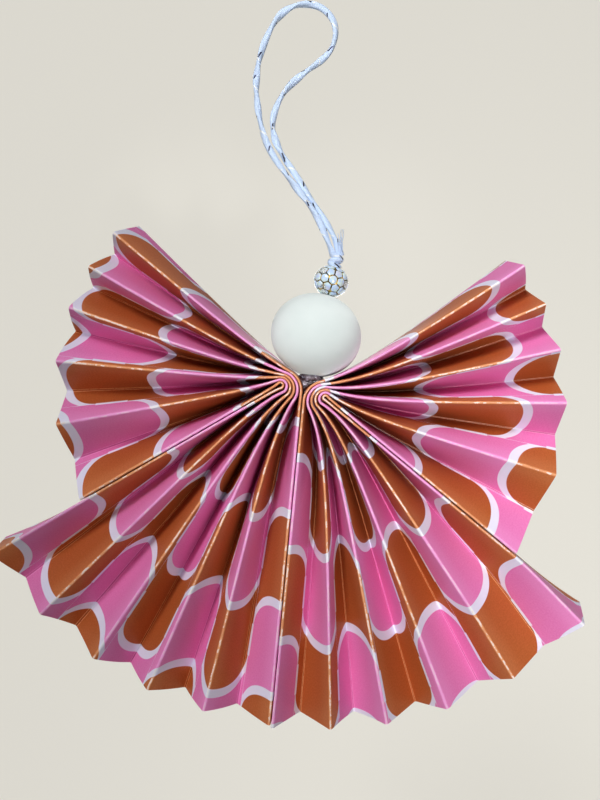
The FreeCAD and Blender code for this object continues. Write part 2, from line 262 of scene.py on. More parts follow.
def bendCentre(half, k=0):
    # middle of the arc on which fold k turns: up the seam from its top, away from it by the
    # outermost radius, and a little lower for each next fold
    p = sheetPaper
    lean = np.radians(p["seamLean"])
    upSeam = np.array([np.sin(lean), np.cos(lean)])
    away = np.array([np.cos(lean), -np.sin(lean)]) * half["side"]
    outer = p["bendRadius"] + (p["corePaper"] + p["pairGap"]) / 2
    bend = np.array(p["seamTop"]) + upSeam * half["bendAboveSeam"] + away * outer
    return bend - p["foldDrift"] * max(k - 1, 0) * upSeam


def foldLine(half, k, isWing):
    # A fold leaves the middle of the bend on an arc, passes its own bearing by the squeeze angle
    # and comes back to it as squeeze * exp(-distance / relax). Its place is the running sum of
    # cos and sin of that heading. Returns places (outward, up), headings and distances along it.
    p = sheetPaper
    last = p["panels"]
    depth = min(max(k - 0.5, 0.0), last - 1.0)
    pitch = (p["bendRadius"] - half["eyeRadius"]) / (last - 1)
    radius = half["eyeRadius"] + pitch * depth
    bearing = half["wing" if isWing else "skirt"][k]
    apex = (half["wing"][k] + half["skirt"][k]) / 2 + 180
    way = 1 if isWing else -1
    if k <= 1:
        # the two glued folds relax until they lie beside their own pair
        squeeze = p["eyeSqueeze"]
        t = (np.arange(p["bowReach"] * p["bowSteps"]) + 0.5) / p["bowSteps"]
        bow = np.sin(np.radians(squeeze) * np.exp(-t)).sum() / p["bowSteps"]
        closed = (p["corePaper"] + p["pairGap"]) / 2 + pitch * depth
        relax = (radius * np.cos(np.radians(squeeze)) - closed) / bow
    elif not isWing and k >= last - 1:
        squeeze, relax = 0.0, 1.0
    else:
        squeeze = half["wingSqueeze" if isWing else "skirtSqueeze"]
        relax = half["wingRelax" if isWing else "skirtRelax"] + p["relaxGrowth"] * (k - 2)
    turn = 90 + (half["skirt"][k] - half["wing"][k]) / 2 + squeeze
    arc = radius * np.radians(turn)
    length = half["wingLength"] if isWing else p["side"] - half["wingLength"]
    s = np.linspace(0, length, p["foldSamples"])
    mid, ds = (s[1:] + s[:-1]) / 2, np.diff(s)

    def heading(d):
        onArc = apex - way * (90 + np.degrees(d / radius))
        free = bearing - way * squeeze * np.exp(-np.maximum(d - arc, 0) / relax)
        over = np.maximum(d - half["wingLength"], 0)
        if k < len(half["droop"]) and not isWing:
            free = free - half["droop"][k] * (1 - np.exp(-over / p["droopReach"]))
        if k == 0 and not isWing:
            flared = 2 * half["flare"] * over / (length - half["wingLength"]) ** 2
            free = free + np.degrees(flared)
        return np.where(d < arc, onArc, free)

    h, apexTurn = np.radians(heading(mid)), np.radians(apex)
    lean = np.radians(p["seamLean"]) * half["side"]
    drift = p["foldDrift"] * max(k - 1, 0)
    a = -drift * np.sin(lean) + radius * np.cos(apexTurn) + np.r_[0, np.cumsum(np.cos(h) * ds)]
    b = -drift * np.cos(lean) + radius * np.sin(apexTurn) + np.r_[0, np.cumsum(np.sin(h) * ds)]
    far = (np.arange(1, p["farRows"] + 1) / p["farRows"]) ** p["rowCrowding"]
    rows = np.r_[arc * np.linspace(0, 1, p["arcRows"] + 1), arc + (length - arc) * far]
    at = np.stack([np.interp(rows, s, a), np.interp(rows, s, b)], 1)
    return at, heading(rows), rows


def sheetCorners(half):
    # Corner lines of the pleats from wing tip to hem: two at each crease, one at each free edge.
    # Front folds keep one depth. A back fold rises by the square root of panel width squared
    # minus gap squared, averaged over its two panels. Also the flat place of each corner.
    p = sheetPaper
    bend = bendCentre(half)
    place, normal, along = [], [], []
    for k in range(p["panels"] + 1):
        wingAt, wingHead, wingS = foldLine(half, k, True)
        skirtAt, skirtHead, skirtS = foldLine(half, k, False)
        at = np.r_[wingAt[::-1], skirtAt[1:]] * [half["side"], 1] + bend
        head = np.radians(np.r_[wingHead[::-1] + 180, skirtHead[1:]])
        travel = np.stack([np.cos(head) * half["side"], np.sin(head)], 1)
        place.append(at)
        normal.append(np.stack([travel[:, 1], -travel[:, 0]], 1) * half["side"])
        along.append(half["wingLength"] + np.r_[-wingS[::-1], skirtS[1:]])
    place, normal, along = map(np.array, (place, normal, along))
    pitch = p["crease"]
    slant = p["side"] / p["panels"] - pitch
    front = -slant / 2
    gap = np.linalg.norm(np.diff(place, axis=0), axis=2)
    rise = np.sqrt(np.maximum(slant ** 2 - np.maximum(gap - pitch, 0) ** 2, 0.01))
    corners, flat, ys = [], [], []
    for k in range(p["panels"] + 1):
        x = k * p["side"] / p["panels"]
        if k in (0, p["panels"]):
            free = np.maximum(gap[0 if k == 0 else -1] - pitch / 2, 0)
            y, ways = front + np.sqrt(slant ** 2 - free ** 2), (0,)
        else:
            y = np.full(place.shape[1], front) if k % 2 else front + (rise[k - 1] + rise[k]) / 2
            ways = (-0.5, 0.5)
        for way in ways:
            at = place[k] + normal[k] * way * pitch
            corners.append(np.stack([at[:, 0], y, at[:, 1]], 1))
            flat.append(x + way * pitch)
            ys.append(along[k])
    return np.array(corners), np.array(flat), np.array(ys)


def surfaceNormal(mid):
    # cross product of the grid's two directions, one long
    return unit(np.cross(np.gradient(mid, axis=1), np.gradient(mid, axis=0)))


def sheetSurface(half):
    # The middle of the paper on a grid: at each row the corners are joined by straight lines,
    # averaged over a short stretch either side so that creases come out rounded, and each panel
    # is bowed by sin(pi u) times a slow wave along it.
    p = sheetPaper
    corners, flat, ys = sheetCorners(half)
    rows = corners.shape[1]
    panel = p["side"] / p["panels"]
    near = np.array(p["nearCrease"])
    inside = np.linspace(p["clearOfCrease"], panel - p["clearOfCrease"], p["acrossPanel"])
    one = np.r_[near, inside, panel - near[:0:-1]]
    xs = np.r_[(np.arange(p["panels"])[:, None] * panel + one).ravel(), p["side"]]
    kernel = np.linspace(-1, 1, p["roundingSamples"])
    reach = np.minimum(p["rounding"], np.minimum(xs, p["side"] - xs))
    samples = (xs[:, None] + reach[:, None] * kernel).ravel()
    mid = np.empty((len(xs), rows, 3))
    along = np.empty((len(xs), rows))
    for j in range(rows):
        for axis in range(3):
            line = np.interp(samples, flat, corners[:, j, axis])
            mid[:, j, axis] = line.reshape(len(xs), -1).mean(1)
        along[:, j] = np.interp(xs, flat, ys[:, j])
    rng = np.random.default_rng(half["seed"])
    u = (xs / panel) % 1.0
    which = np.minimum((xs / panel).astype(int), p["panels"] - 1)
    far = np.clip(np.abs(along - half["wingLength"]) / p["bowFullAt"], 0, 1)
    bowed = np.zeros_like(along)
    for k in range(p["panels"]):
        amount, turn = rng.uniform(*p["bowAmount"]), rng.uniform(*p["wavePhase"])
        wave = amount + p["bowWave"] * np.sin(along / rng.uniform(*p["waveLength"]) + turn)
        bowed += np.where((which == k)[:, None], wave, 0)
    bowed *= np.sin(np.pi * u)[:, None] * far ** p["bowGrowth"]
    bowed[(which == 0) | (which == p["panels"] - 1)] *= p["outerBow"]
    return mid + surfaceNormal(mid) * bowed[..., None] * half["side"] * -1, xs, along


def makeSheet(name, half, node, material, backMaterial):
    # Print side and back side are the middle surface moved half a thickness along its normal;
    # a rim of quads joins them, so that the sheet is a closed solid.
    p = sheetPaper
    mid, xs, along = sheetSurface(half)
    norm = surfaceNormal(mid)
    crease = np.argmin(np.abs(xs - p["side"] / p["panels"]))
    if norm[crease, -1, 1] > 0:
        norm = -norm
    front = mid + norm * p["thickness"] / 2
    back = mid - norm * p["thickness"] / 2
    n, m = len(xs), mid.shape[1]
    quads = gridFaces(n, m)
    a, b = mid[1, 0] - mid[0, 0], mid[0, 1] - mid[0, 0]
    edge = np.r_[np.arange(m), np.arange(1, n) * m + m - 1,
                 (n - 1) * m + np.arange(m - 2, -1, -1), np.arange(n - 2, 0, -1) * m]
    nextEdge = np.roll(edge, -1)
    rim = np.stack([edge, nextEdge, nextEdge + n * m, edge + n * m], 1)
    if np.dot(np.cross(b, a), norm[0, 0]) > 0:
        rim = rim[:, ::-1]
    else:
        quads = quads[:, ::-1]
    points = np.r_[front.reshape(-1, 3), back.reshape(-1, 3)]
    uv = np.tile(np.stack([np.repeat(xs[:, None], m, 1), along], -1).reshape(-1, 2), (2, 1))
    faces = np.r_[quads, quads[:, ::-1] + n * m, rim]
    piece = addPiece(name, points, faces, [node], material, uv[faces.ravel()])
    sheet = piece.data
    sheet.materials.append(backMaterial)
    order = np.arange(len(faces))
    sheet.polygons.foreach_set("material_index", (order >= len(quads)).astype(int))
    sheet.polygons.foreach_set("use_smooth", order < 2 * len(quads))
    ends = np.empty(2 * len(sheet.edges), int)
    sheet.edges.foreach_get("vertices", ends)
    atRim = np.isin(ends, np.r_[edge, edge + n * m]).reshape(-1, 2).all(1)
    sheet.edges.foreach_set("use_edge_sharp", atRim)


printLook = {
    "pink": tint(238, 133, 194), "copper": tint(193, 103, 55), "outline": tint(239, 235, 255),
    "pinkGrain": tint(222, 104, 168), "copperGrain": tint(160, 74, 30),
    # paler colours for wear and painted highlight, then the darker colours of the painted shade
    "pinkWornLit": tint(255, 176, 232), "copperWornLit": tint(246, 176, 124),
    "outlineWornLit": tint(250, 250, 255), "bare": tint(250, 232, 224),
    "pinkShade": tint(166, 6, 84), "copperShade": tint(92, 10, 0),
    "back": tint(240, 236, 232), "backGrain": tint(222, 216, 212),
    "period": 42.2, "row": 24.12, "swing": 13.64,  # millimetres on the flat sheet
    "headPart": 0.68,  # part of the swing that is round head
    "headPower": 2.27,  # 2 is an ellipse, more is squarer
    "headOutline": 2.4, "sideOutline": 0.85, "outlineBlur": 0.09,
    "hemReach": 12.0,  # over which the last row is drawn in
    "grain": (2.2, 3.0, 0.6), "fine": (6.5, 2.0, 0.6),  # noise scale, detail, roughness
    "grainSeen": (0.3, 0.7), "pinkGrainPart": 0.4, "copperGrainPart": 0.42,
    "roughness": (0.4, 0.16, 0.12), "metallic": 0.18,  # least, more in grain, more on ridges
    "bump": (0.35, 0.00012),  # strength, depth in metres
}
# Pairs are distances in millimetres, from not seen to full. A part is how strongly a trace is
# mixed in, and the value for pink is added to it or taken off it there.
foldWear = {
    # slow, ragged and dashed noise: scale across and along the pleats, shift, detail, roughness
    "noises": ((0.2, 0.22, 0.0, 2.0, 0.5), (0.3, 0.5, 31.0, 5.0, 0.7), (3.0, 1.1, 0.0, 3.0, 0.7)),
    # the ridge mark and the paler band beside the front folds are painted highlight, partly wear;
    # the cracks are wear
    "ridge": (0.5, 0.14), "ridgePart": 0.5, "ridgeSlow": 0.4, "ridgePink": 0.15,
    "ridgeRagged": 0.4, "rubbedSheen": (5.5, 0.5), "rubbedSheenPart": 0.13, "rubbedSheenPink": 0.12,
    "crackPart": 0.85, "crackPink": 0.45, "crackRagged": 2.2, "crackSlow": 1.6,
    "crackWander": 0.9, "crackFar": (12.0, 45.0), "crackGrowth": 0.14, "crackMost": 0.2,
    "crackFrom": 0.53, "crackBlur": (0.06, -0.06),
    # the valley, closed and inside marks are painted shade
    "valley": (0.34, 0.1), "valleyPart": 0.45,
    "closedNear": (34.0, 10.0), "closedIn": (0.7, 3.5), "closedPart": 0.7,
    "insideNear": (66.0, 16.0), "insideIn": (2.0, 11.0), "insidePart": 0.73,
    # shineFrom: from where along the sheet the score lines get their painted highlight
    "score": (0.13, 0.05), "scorePart": 0.8, "scorePink": 0.25, "shineFrom": (6.0, -6.0),
}


def printedPaper(name, half):
    # Rows of colour change along y, and the boundary between two rows runs in tongues: with u
    # from 0 at a tongue's middle to 1 at its side it lies at swing * (1 - e + e (1 - u^n)^(1/n)),
    # up for one tongue and down for the next. A pale outline follows it, wide round a head and
    # thin along a side. Near the front folds the colour is painted paler, a painted highlight
    # that also stands for rubbing, and the ridge is paler still, part wear and part painted
    # highlight; the ridge cracks open here and there. Back folds carry two fine score lines,
    # which are painted paler on one sheet's wing as a highlight. The creases of the back folds,
    # and the paper far inside the pleats towards the bend, are painted darker as shade.
    look, wear, panel = printLook, foldWear, sheetPaper["side"] / sheetPaper["panels"]
    paint = Paint(name, Specular_IOR_Level=0.15)
    x, y = paint.uv()
    e, n, swing, row = look["headPart"], look["headPower"], look["swing"], look["row"]
    halfTongue = look["period"] / 4
    across = abs(((x - half["tongueAt"] * panel) / look["period"]).fract() - 0.5) - 0.25
    u = 1.0 - abs(across) * 4.0
    left = (1.0 - u ** n).atLeast(0.0005)
    wave = across.sign() * (left ** (1 / n) * e + (1 - e)) * -swing
    slope = u ** (n - 1) * left ** (1 / n - 1) * (swing * e / halfTongue)
    drift = y.step(sheetPaper["side"] - look["hemReach"], sheetPaper["side"]) * half["hemDrift"]
    rowLine = (y + drift - half["rowStart"]) / row
    rowAt = rowLine - wave / row + 20.0  # the whole number only keeps it positive
    isPink = ((rowAt / 2.0).fract() - 0.5).step(-0.004, 0.004)
    edge = abs((rowAt + 0.5).fract() - 0.5) * row / (slope * slope + 1.0) ** 0.5
    narrowing = (look["headOutline"] - look["sideOutline"]) / 2
    width = look["headOutline"] / 2 - u ** 4 * narrowing
    blur = look["outlineBlur"]
    outline = (edge - width).step(blur, -blur)
    beside = (1.0 - u) * halfTongue - look["sideOutline"] / 2
    between = abs((rowLine + 20.5).fract() - 0.5) * row - (1 - e) * swing
    outline = outline.atLeast(beside.step(blur, -blur) * between.step(0.2, -0.2))

    flat = paint.join(x, y)
    grain, fine = paint.noise(flat, *look["grain"]), paint.noise(flat, *look["fine"])
    grained = grain.step(*look["grainSeen"])
    pink = paint.mix(grained * look["pinkGrainPart"], look["pink"], look["pinkGrain"])
    copper = paint.mix(grained * look["copperGrainPart"], look["copper"], look["copperGrain"])
    colour = paint.mix(isPink, copper, pink)
    colour = paint.mix(outline, colour, look["outline"])
    wornLit = paint.mix(isPink, look["copperWornLit"], look["pinkWornLit"])
    wornLit = paint.mix(outline, wornLit, look["outlineWornLit"])

    # distance from the nearest front fold, with its side as sign, and from the nearest back fold
    pleat = (x / (2 * panel)).fract()
    aside = (pleat - 0.5) * (2 * panel)
    fromFront = abs(aside)
    fromBack = (0.5 - abs(pleat - 0.5)) * (2 * panel)
    fromBend = abs(y - half["wingLength"])
    slow, ragged, dashes = [paint.noise(paint.join(x * scaleX, y * scaleY + shift), 1.0, *rest)
                            for scaleX, scaleY, shift, *rest in wear["noises"]]

    # painted highlight, partly wear: a paler band beside each front fold, and its ridge paler
    # still
    ridge = (fromFront + (ragged - 0.5) * wear["ridgeRagged"]).step(*wear["ridge"])
    rubbedSheen = fromFront.step(*wear["rubbedSheen"]) * (1.0 - outline)
    colour = paint.mix(rubbedSheen * (wear["rubbedSheenPart"] + isPink * wear["rubbedSheenPink"]), colour, wornLit)
    patchy = wear["ridgePart"] + wear["ridgeSlow"] * slow.step(0.35, 0.65)
    colour = paint.mix(ridge * (patchy + isPink * wear["ridgePink"]), colour, wornLit)

    width = (ragged - wear["crackFrom"]) * wear["crackRagged"] + (slow - 0.5) * wear["crackSlow"]
    width = width + fromBend.step(*wear["crackFar"]) * wear["crackGrowth"]
    middle = aside + (ragged - 0.5) * wear["crackWander"]
    width = width.atLeast(0.0).atMost(wear["crackMost"])
    crack = (abs(middle) - width).step(*wear["crackBlur"])
    cracked = crack * (wear["crackPart"] - isPink * wear["crackPink"])
    colour = paint.mix(cracked, colour, look["bare"])

    # painted shade: darker colour in the back folds' creases, and far inside the pleats towards
    # the bend
    shadeColour = paint.mix(isPink, look["copperShade"], look["pinkShade"])
    valley = fromBack.step(*wear["valley"]) * (1.0 - outline) * wear["valleyPart"]
    colour = paint.mix(valley, colour, shadeColour)
    closed = fromBend.step(*wear["closedNear"]) * fromFront.step(*wear["closedIn"])
    inside = fromBend.step(*wear["insideNear"]) * fromFront.step(*wear["insideIn"])
    shaded = (closed * wear["closedPart"]).atLeast(inside * wear["insidePart"])
    colour = paint.mix(shaded * (1.0 - outline * 0.5), colour, shadeColour)

    score = abs(fromBack - half["scoreAt"]).step(*wear["score"]) * dashes.step(0.3, 0.5)
    score = score * (wear["scorePart"] - isPink * wear["scorePink"])
    # painted highlight: on the wing the score lines are made paler, by the sheet's scoreShine
    shine = (y - half["wingLength"]).step(*wear["shineFrom"]) * half["scoreShine"]
    colour = paint.mix(score, colour, paint.mix(shine, wornLit, look["bare"]))

    paint.set("Base Color", colour)
    least, inGrain, onRidge = look["roughness"]
    paint.set("Roughness", least + inGrain * fine + onRidge * ridge)
    paint.set("Metallic", (1.0 - isPink) * (1.0 - outline) * look["metallic"])
    height = fine * 0.35 + grain * 0.2 + crack * 0.5 - score * 0.5
    paint.set("Normal", paint.bump(height, *look["bump"]))
    return paint.material


def plainBack():
    paint = Paint("plain paper back", Roughness=0.75)
    grain = paint.noise(paint.place(), 1.5, 3.0, 0.6).step(0.3, 0.7) * 0.3
    paint.set("Base Color", paint.mix(grain, printLook["back"], printLook["backGrain"]))
    return paint.material


backPaper = plainBack()
for half, way in bothSheets:
    frontPaper = printedPaper("printed paper " + way, half)
    makeSheet(way + "-pleated-sheet", half, way + "_sheet", frontPaper, backPaper)

beads = {
    "lean": 15.6,  # degrees from upright
    "head": {"width": 24.0, "height": 22.0, "bore": 3.0},
    "crown": {"width": 8.8, "height": 7.8, "bore": 2.2},
    "crownDrop": 0.25, "lip": 0.35, "columns": 96, "outlineSteps": 61, "lipSteps": 6,
    "paint": tint(229, 236, 234), "paintBlotch": tint(223, 231, 229),
    "blotch": (0.16, 2.0), "blotchSeen": (0.35, 0.65), "blotchPart": 0.5,
    "grain": (1.8, 3.0, 0.6), "paintRoughness": (0.56, 0.12), "paintBump": (0.12, 0.0002),
    "gold": tint(208, 174, 78), "tarnish": tint(52, 48, 24),
    "stain": (1.2, 3.0, 0.6), "stainSeen": (0.38, 0.52), "goldRoughness": (0.34, 0.3),
}
lean = np.radians(beads["lean"])
beadAxis = np.array([np.sin(lean), 0, np.cos(lean)])
beadSide = np.array([np.cos(lean), 0, -np.sin(lean)])
beadDepth = np.array([0.0, 1.0, 0.0])


def centreOf(node):
    # middle of a node's box, in millimetres
    low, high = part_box(node)
    return (np.array(low) + np.array(high)) / 2 / mm


def crownCentre():
    return centreOf("crown_bead") - beadAxis * beads["crownDrop"]


def onBead(centre, x, y, z):
    # a place given across, in depth and along the beads' leaning axis
    return centre + x[..., None] * beadSide + y[..., None] * beadDepth + z[..., None] * beadAxis


def makeBead(name, node, centre, slotName, material, width, height, bore):
    # A flattened ball turned round its axis: radius = width/2 cos t, height = height/2 sin t.
    # A quarter circle leads into the bore at either end and the bore's wall closes the outline.
    lip = beads["lip"]
    end = np.arccos((bore / 2 + lip) / (width / 2))
    t = np.linspace(-end, end, beads["outlineSteps"])
    outer = np.stack([width / 2 * np.cos(t), height / 2 * np.sin(t)], 1)
    turn = np.linspace(0, np.pi / 2, beads["lipSteps"])[1:]
    top = outer[-1, 1]
    lipTop = np.stack([bore / 2 + lip * (1 - np.sin(turn)), top - lip * (1 - np.cos(turn))], 1)
    outline = np.r_[outer, lipTop, lipTop[::-1] * [1, -1]]
    around = fullTurn(beads["columns"])
    r, z = outline[:, :1], np.repeat(outline[:, 1:], len(around), 1)
    points = onBead(centre, r * np.cos(around), r * np.sin(around), z)
    faces = gridFaces(len(outline) + 1, len(around), True) % (len(outline) * len(around))
    addPiece(name, points.reshape(-1, 3), faces, [node], material)


def paintedWood():
    paint = Paint("pale painted wood", Specular_IOR_Level=0.3, Diffuse_Roughness=0.7)
    at = paint.place()
    blotch, grain = paint.noise(at, *beads["blotch"]), paint.noise(at, *beads["grain"])
    blotched = blotch.step(*beads["blotchSeen"]) * beads["blotchPart"]
    least, growth = beads["paintRoughness"]
    paint.set("Base Color", paint.mix(blotched, beads["paint"], beads["paintBlotch"]))
    paint.set("Roughness", least + growth * grain)
    paint.set("Normal", paint.bump(grain + blotch, *beads["paintBump"]))
    return paint.material


def goldMetal():
    paint = Paint("gold plated metal", Metallic=1.0)
    stain = paint.noise(paint.place(), *beads["stain"])
    tarnished = stain.step(*beads["stainSeen"])
    least, growth = beads["goldRoughness"]
    paint.set("Base Color", paint.mix(tarnished, beads["gold"], beads["tarnish"]))
    paint.set("Roughness", least + growth * stain)
    return paint.material


stones = {
    "rings": ((-59.3, 6), (-29.66, 11), (0.0, 12), (29.66, 11), (59.3, 6)),  # latitude, number
    "turn": 8.0, "stagger": 9.5, "width": 8.5, "height": 7.5,
    "largest": 1.26, "gap": 0.16, "stand": 0.4, "sink": 0.3, "corners": 36,
    "dome": ((1.0, 0.62), (0.96, 0.8), (0.8, 0.93), (0.5, 0.99), (0.2, 1.0)),  # reach, height
    "widest": 0.2,  # least cos of the angle at which a neighbour still counts
    "farAway": 99,  # stands for no neighbour
    "blue": tint(196, 220, 252), "green": tint(222, 242, 238), "violet": tint(210, 200, 240),
    "foilDark": tint(120, 122, 108), "foilPale": tint(244, 246, 240),
    "milk": (0.9, 1.0), "milkSeen": (0.42, 0.6),
    "fire": (0.45, 1.0), "fireSeen": (0.56, 0.7), "firePart": 0.5,
    "clear": (0.33, 0.0), "clearSeen": (0.56, 0.62), "clearPart": 0.75,
    "glint": (2.4, 2.0), "glintSeen": (0.44, 0.56),
}


def opalStone():
    # milky blue to green, here and there violet, and clear stones through which foil shows,
    # mottled dark and pale as painted reflection
    look = stones
    paint = Paint("opal white stones", Roughness=0.12, Coat_Weight=0.6, Coat_Roughness=0.05)
    at = paint.place()
    milk, fire, clear, glint = [paint.noise(at, *look[name]).step(*look[name + "Seen"])
                                for name in ("milk", "fire", "clear", "glint")]
    colour = paint.mix(milk, look["blue"], look["green"])
    colour = paint.mix(fire * look["firePart"], colour, look["violet"])
    # painted reflection: the foil is mottled dark and pale
    foil = paint.mix(glint, look["foilDark"], look["foilPale"])
    paint.set("Base Color", paint.mix(clear * look["clearPart"], colour, foil))
    return paint.material


def stoneCentres():
    # rings of stones round the beads' axis, each second ring turned by half a step and by as much
    # again as makes its stones fall between their neighbours at the front
    across, depth, along = [], [], []
    for row, (latitude, count) in enumerate(stones["rings"]):
        turn = np.radians(360 / count * (np.arange(count) + 0.5 * (row % 2)) + stones["turn"]
                          + stones["stagger"] * (row % 2))
        level = np.radians(latitude)
        across.append(np.cos(level) * np.cos(turn) * stones["width"] / 2)
        depth.append(np.cos(level) * np.sin(turn) * stones["width"] / 2)
        along.append(np.full(count, np.sin(level) * stones["height"] / 2))
    return np.stack([np.concatenate(across), np.concatenate(depth), np.concatenate(along)], 1)


def makeStones():
    # Every stone fills the cell of the ball that lies nearest to it: its reach along a direction
    # is the least of half the distance to a neighbour / cos(angle to that neighbour), less the
    # metal between. It is a low dome on a straight wall, bent to the ball by reach^2 / width.
    s = stones
    at = stoneCentres()
    out = unit(at / np.array([s["width"], s["width"], s["height"]]) ** 2)
    sideways = unit(np.cross([0.0, 0.0, 1.0], out))
    upward = np.cross(out, sideways)
    turn = fullTurn(s["corners"])
    ray = sideways[:, None] * np.cos(turn)[:, None] + upward[:, None] * np.sin(turn)[:, None]
    apart = at[None] - at[:, None]
    distance = np.linalg.norm(apart, axis=2) + np.eye(len(at)) * s["farAway"]
    towards = np.einsum("ijk,iak->iaj", apart / distance[..., None], ray)
    halfWay = distance[:, None] / 2 / np.maximum(towards, s["widest"])
    reach = np.where(towards > s["widest"], halfWay, s["farAway"]).min(2)
    reach = np.minimum(reach, s["largest"]) - s["gap"]
    dome = np.array(s["dome"])
    u = np.r_[1.0, dome[:, 0]]
    level = np.r_[-s["sink"], dome[:, 1] * s["stand"]]
    ring = at[:, None, None] + ray[:, None] * (reach[:, None] * u[:, None])[..., None] \
        + out[:, None, None] * level[:, None, None]
    drop = np.linalg.norm(ring - at[:, None, None], axis=3) ** 2 / s["width"]
    ring = ring - out[:, None, None] * drop[..., None]
    count, rows, n = len(at), len(u), s["corners"]
    middle = at + out * s["stand"]
    local = np.concatenate([ring.reshape(count, rows * n, 3), middle[:, None]], 1)
    top = (rows - 1) * n
    faces = [list(f) for f in gridFaces(rows, n, True)]
    faces += [[top + i, top + (i + 1) % n, rows * n] for i in range(n)]
    faces.append(list(range(n))[::-1])
    each = rows * n + 1
    faces = [[v + k * each for v in f] for k in range(count) for f in faces]
    points = onBead(crownCentre(), *local.reshape(-1, 3).T)
    addPiece("crown-stones", points, faces, ["crown_stones"], opalStone())


makeBead("wooden-head", "head_bead", centreOf("head_bead"), "head_wood", paintedWood(),
         **beads["head"])
makeBead("crown-bead", "crown_bead", crownCentre(), "gold_metal", goldMetal(), **beads["crown"])
makeStones()

cordLook = {
    "diameter": 1.6, "wide": 0.94, "thick": 0.64, "sides": 16, "ring": 0.25,
    "twistStep": 10.4, "twistUneven": 1.4, "swell": 0.06,
    "colour": tint(210, 229, 255), "shade": tint(196, 217, 252),
    "thread": tint(40, 42, 70), "glint": tint(246, 250, 255),
    "braidTurns": 3.0, "braidPitch": 0.8, "roughness": 0.62, "shining": 0.35,
    "fleckStep": 8.6, "fleckWander": 1.3, "fleckMetal": 0.7,
    "fleckSlant": 0.26, "fleckWide": (0.12, 0.08), "fleckLong": (0.11, 0.08),
    "glintSlant": 0.3, "glintStep": 0.83, "glintLong": (0.09, 0.06),
}
cordRoute = [
    (6.9, 0.0, -64.3), (4.9, -0.3, -58.6), (1.3, -0.6, -51.7), (-5.3, -0.6, -43.5),
    (-10.6, -0.5, -35.7), (-12.9, -0.2, -27.0), (-13.6, 0.0, -17.5), (-11.6, 0.1, -9.2),
    (-8.0, 0.0, -2.3), (-3.4, -0.1, 0.9), (2.9, 0.0, 0.8), (7.1, 0.1, -3.0), (7.7, 0.0, -8.0),
    (5.4, -0.1, -12.8), (-2.6, 0.1, -17.9), (-7.4, 0.3, -23.0), (-9.6, 0.5, -30.0),
    (-7.4, 0.6, -36.7), (-2.1, 0.6, -44.2), (3.1, 0.6, -52.7), (7.2, 0.3, -58.8),
    (8.9, 0.0, -64.4)]


def smoothLine(route, step):
    # a smooth curve along the route's corners, as points one step apart
    curve = bpy.data.curves.new("cordRoute", "CURVE")
    curve.dimensions = "3D"
    spline = curve.splines.new("NURBS")
    spline.points.add(len(route) - 1)
    spline.points.foreach_set("co", np.c_[np.array(route), np.ones(len(route))].ravel())
    spline.order_u = 3
    spline.use_endpoint_u = True
    spline.resolution_u = 24
    holder = bpy.data.objects.new("cordRoute", curve)
    line = bpy.data.meshes.new_from_object(holder)
    at = np.empty(len(line.vertices) * 3)
    line.vertices.foreach_get("co", at)
    bpy.data.objects.remove(holder)
    bpy.data.meshes.remove(line)
    at = at.reshape(-1, 3)
    along = np.r_[0, np.cumsum(np.linalg.norm(np.diff(at, axis=0), axis=1))]
    even = np.linspace(0, along[-1], int(along[-1] / step) + 1)
    return np.stack([np.interp(even, along, at[:, i]) for i in range(3)], 1), even


def tube(line, wide, thick, twist, reference, sides):
    # An ellipse carried along a line: centre + wide cos a * side + thick sin a * lift, the pair
    # turned by twist. Flat ends. uv is (turns round, millimetres along).
    travel = unit(np.gradient(line, axis=0))
    side = unit(np.cross(travel, reference))
    lift = np.cross(side, travel)
    a = fullTurn(sides)
    c, s = np.cos(twist)[:, None], np.sin(twist)[:, None]
    side, lift = side * c + lift * s, lift * c - side * s
    wide, thick = np.broadcast_to(wide, len(line)), np.broadcast_to(thick, len(line))
    points = line[:, None] + side[:, None] * (wide[:, None] * np.cos(a))[..., None] \
        + lift[:, None] * (thick[:, None] * np.sin(a))[..., None]
    n = len(line)
    quads = gridFaces(n, sides, True)
    along = np.r_[0, np.cumsum(np.linalg.norm(np.diff(line, axis=0), axis=1))]
    row, column = quads // sides, quads % sides
    wrapped = column[:, 1:3] < column[:, :1]
    column[:, 1:3] = np.where(wrapped, column[:, 1:3] + sides, column[:, 1:3])
    uv = np.stack([column / sides, along[row]], -1)[:, ::-1].reshape(-1, 2)
    faces = [face[::-1] for face in closedTube(n, sides)]
    return points.reshape(-1, 3), faces, np.r_[uv, np.zeros((2 * sides, 2))]


